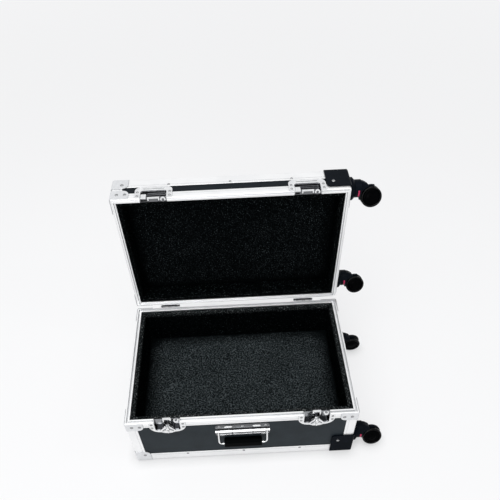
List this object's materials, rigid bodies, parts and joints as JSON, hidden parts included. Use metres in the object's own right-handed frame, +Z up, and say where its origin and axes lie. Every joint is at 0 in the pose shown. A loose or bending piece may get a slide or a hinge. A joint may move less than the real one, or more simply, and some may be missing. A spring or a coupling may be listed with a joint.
{
  "type": "trolley flight case",
  "caption": "Foam-lined hard case with aluminium edge rails, hinged lid, butterfly latches, carrying handle, swivelling casters at one end and a sliding pull handle at the other.",
  "frame": {"origin": "on the ground under the middle of the base", "axes": "+X to the caster end, +Y to the hinges, +Z up; the latches face -Y"},
  "size_m": [0.6344, 0.4583, 0.5561],
  "materials": {
    "black_plastic": "satin black moulded nylon",
    "bright_plate": "bright chrome plated pressed steel",
    "foam": "charcoal pressed foam lining",
    "grip_rubber": "soft black rubber",
    "laminate": "charcoal laminate on plywood, fine grain",
    "plated_steel": "zinc plated pressed steel",
    "plywood": "bare birch plywood",
    "rail_aluminium": "satin drawn aluminium",
    "rivet_steel": "nickel plated rivet heads",
    "steel": "plain steel",
    "wheel_rubber": "black polyurethane tread and hub"
  },
  "bodies": {
    "base": {"base_bottom_panel": "laminate", "base_front_panel": "laminate", "base_back_panel": "laminate", "base_left_panel": "laminate", "base_right_panel": "laminate", "base_bottom_rails": "rail_aluminium", "base_upright_rails": "rail_aluminium", "base_rim_rails": "rail_aluminium", "base_corner_caps": "plated_steel", "base_rim_braces": "plated_steel", "base_caster_corners": "black_plastic", "base_rivets": "rivet_steel", "base_wall_foam": "foam", "floor_foam": "foam", "false_floor": "plywood", "floor_bearers": "plywood", "latch_dishes": "bright_plate", "handle_plate": "bright_plate", "hinge_base_leaves": "bright_plate", "hinge_pins": "steel", "pull_handle_bezel": "black_plastic", "pull_handle_sleeves": "rail_aluminium", "pull_handle_anchor": "plywood"},
    "lid": {"lid_top_panel": "laminate", "lid_front_panel": "laminate", "lid_back_panel": "laminate", "lid_end_panels": "laminate", "lid_top_rails": "rail_aluminium", "lid_upright_rails": "rail_aluminium", "lid_rim_rails": "rail_aluminium", "lid_corner_caps": "plated_steel", "lid_rim_braces": "plated_steel", "lid_caster_corners": "black_plastic", "lid_rivets": "rivet_steel", "lid_wall_foam": "foam", "lid_top_foam": "foam", "latch_keepers": "bright_plate", "hinge_lid_leaves": "bright_plate"},
    "latch_wing_left": {"latch_wing_left": "bright_plate"},
    "latch_hook_left": {"latch_hook_left": "bright_plate"},
    "latch_wing_right": {"latch_wing_right": "bright_plate"},
    "latch_hook_right": {"latch_hook_right": "bright_plate"},
    "handle": {"handle_bail": "bright_plate", "handle_grip": "grip_rubber"},
    "caster_base_front": {"caster_fork_base_front": "black_plastic", "caster_axle_base_front": "steel"},
    "caster_wheels_base_front": {"caster_wheels_base_front": "wheel_rubber"},
    "caster_base_back": {"caster_fork_base_back": "black_plastic", "caster_axle_base_back": "steel"},
    "caster_wheels_base_back": {"caster_wheels_base_back": "wheel_rubber"},
    "caster_lid_front": {"caster_fork_lid_front": "black_plastic", "caster_axle_lid_front": "steel"},
    "caster_wheels_lid_front": {"caster_wheels_lid_front": "wheel_rubber"},
    "caster_lid_back": {"caster_fork_lid_back": "black_plastic", "caster_axle_lid_back": "steel"},
    "caster_wheels_lid_back": {"caster_wheels_lid_back": "wheel_rubber"},
    "pull_handle": {"pull_handle_tubes": "rail_aluminium", "pull_handle_grip": "black_plastic"},
    "pull_button": {"pull_handle_button": "black_plastic"}
  },
  "joints": [
    {"name": "lid_hinge", "type": "hinge", "parent": "base", "child": "lid", "pos_m": [0, 0.1855, 0.1862], "axis": [1, 0, 0], "range_deg": [0, 90]},
    {"name": "latch_twist_left", "type": "hinge", "parent": "base", "child": "latch_wing_left", "pos_m": [-0.176, -0.1803, 0.166], "axis": [0, 1, 0], "range_deg": [0, 180]},
    {"name": "latch_hook_swing_left", "type": "hinge", "parent": "base", "child": "latch_hook_left", "pos_m": [-0.176, -0.1752, 0.157], "axis": [1, 0, 0], "range_deg": [0, 5.6]},
    {"name": "latch_twist_right", "type": "hinge", "parent": "base", "child": "latch_wing_right", "pos_m": [0.176, -0.1803, 0.166], "axis": [0, 1, 0], "range_deg": [0, 180]},
    {"name": "latch_hook_swing_right", "type": "hinge", "parent": "base", "child": "latch_hook_right", "pos_m": [0.176, -0.1752, 0.157], "axis": [1, 0, 0], "range_deg": [0, 5.6]},
    {"name": "handle_swing", "type": "hinge", "parent": "base", "child": "handle", "pos_m": [0, -0.1834, 0.136], "axis": [-1, 0, 0], "range_deg": [0, 85]},
    {"name": "caster_swivel_base_front", "type": "hinge", "parent": "base", "child": "caster_base_front", "pos_m": [0.29, -0.147, 0.0465], "axis": [1, 0, 0], "continuous": true},
    {"name": "wheel_spin_base_front", "type": "hinge", "parent": "caster_base_front", "child": "caster_wheels_base_front", "pos_m": [0.3315, -0.15417, 0.02783], "axis": [0, 0.9336, -0.3584], "continuous": true},
    {"name": "caster_swivel_base_back", "type": "hinge", "parent": "base", "child": "caster_base_back", "pos_m": [0.29, 0.147, 0.0465], "axis": [1, 0, 0], "continuous": true},
    {"name": "wheel_spin_base_back", "type": "hinge", "parent": "caster_base_back", "child": "caster_wheels_base_back", "pos_m": [0.3315, 0.147, 0.0265], "axis": [0, 1, 0], "continuous": true},
    {"name": "caster_swivel_lid_front", "type": "hinge", "parent": "lid", "child": "caster_lid_front", "pos_m": [0.29, 0.2267, 0.5207], "axis": [1, 0, 0], "continuous": true},
    {"name": "wheel_spin_lid_front", "type": "hinge", "parent": "caster_lid_front", "child": "caster_wheels_lid_front", "pos_m": [0.3315, 0.21953, 0.50203], "axis": [0, 0.9336, -0.3584], "continuous": true},
    {"name": "caster_swivel_lid_back", "type": "hinge", "parent": "lid", "child": "caster_lid_back", "pos_m": [0.29, 0.2267, 0.2227], "axis": [1, 0, 0], "continuous": true},
    {"name": "wheel_spin_lid_back", "type": "hinge", "parent": "caster_lid_back", "child": "caster_wheels_lid_back", "pos_m": [0.3315, 0.21953, 0.20403], "axis": [0, 0.9336, -0.3584], "continuous": true},
    {"name": "pull_handle_slide", "type": "slide", "parent": "base", "child": "pull_handle", "axis": [-1, 0, 0], "range_m": [0, 0.34]},
    {"name": "pull_button_press", "type": "slide", "parent": "pull_handle", "child": "pull_button", "axis": [1, 0, 0], "range_m": [0, 0.003], "stiffness_N_per_m": 600}
  ],
  "couplings": [
    {"joint": "latch_hook_swing_left", "follows": "latch_twist_left", "ratio": 0.031111},
    {"joint": "latch_hook_swing_right", "follows": "latch_twist_right", "ratio": 0.031111}
  ]
}
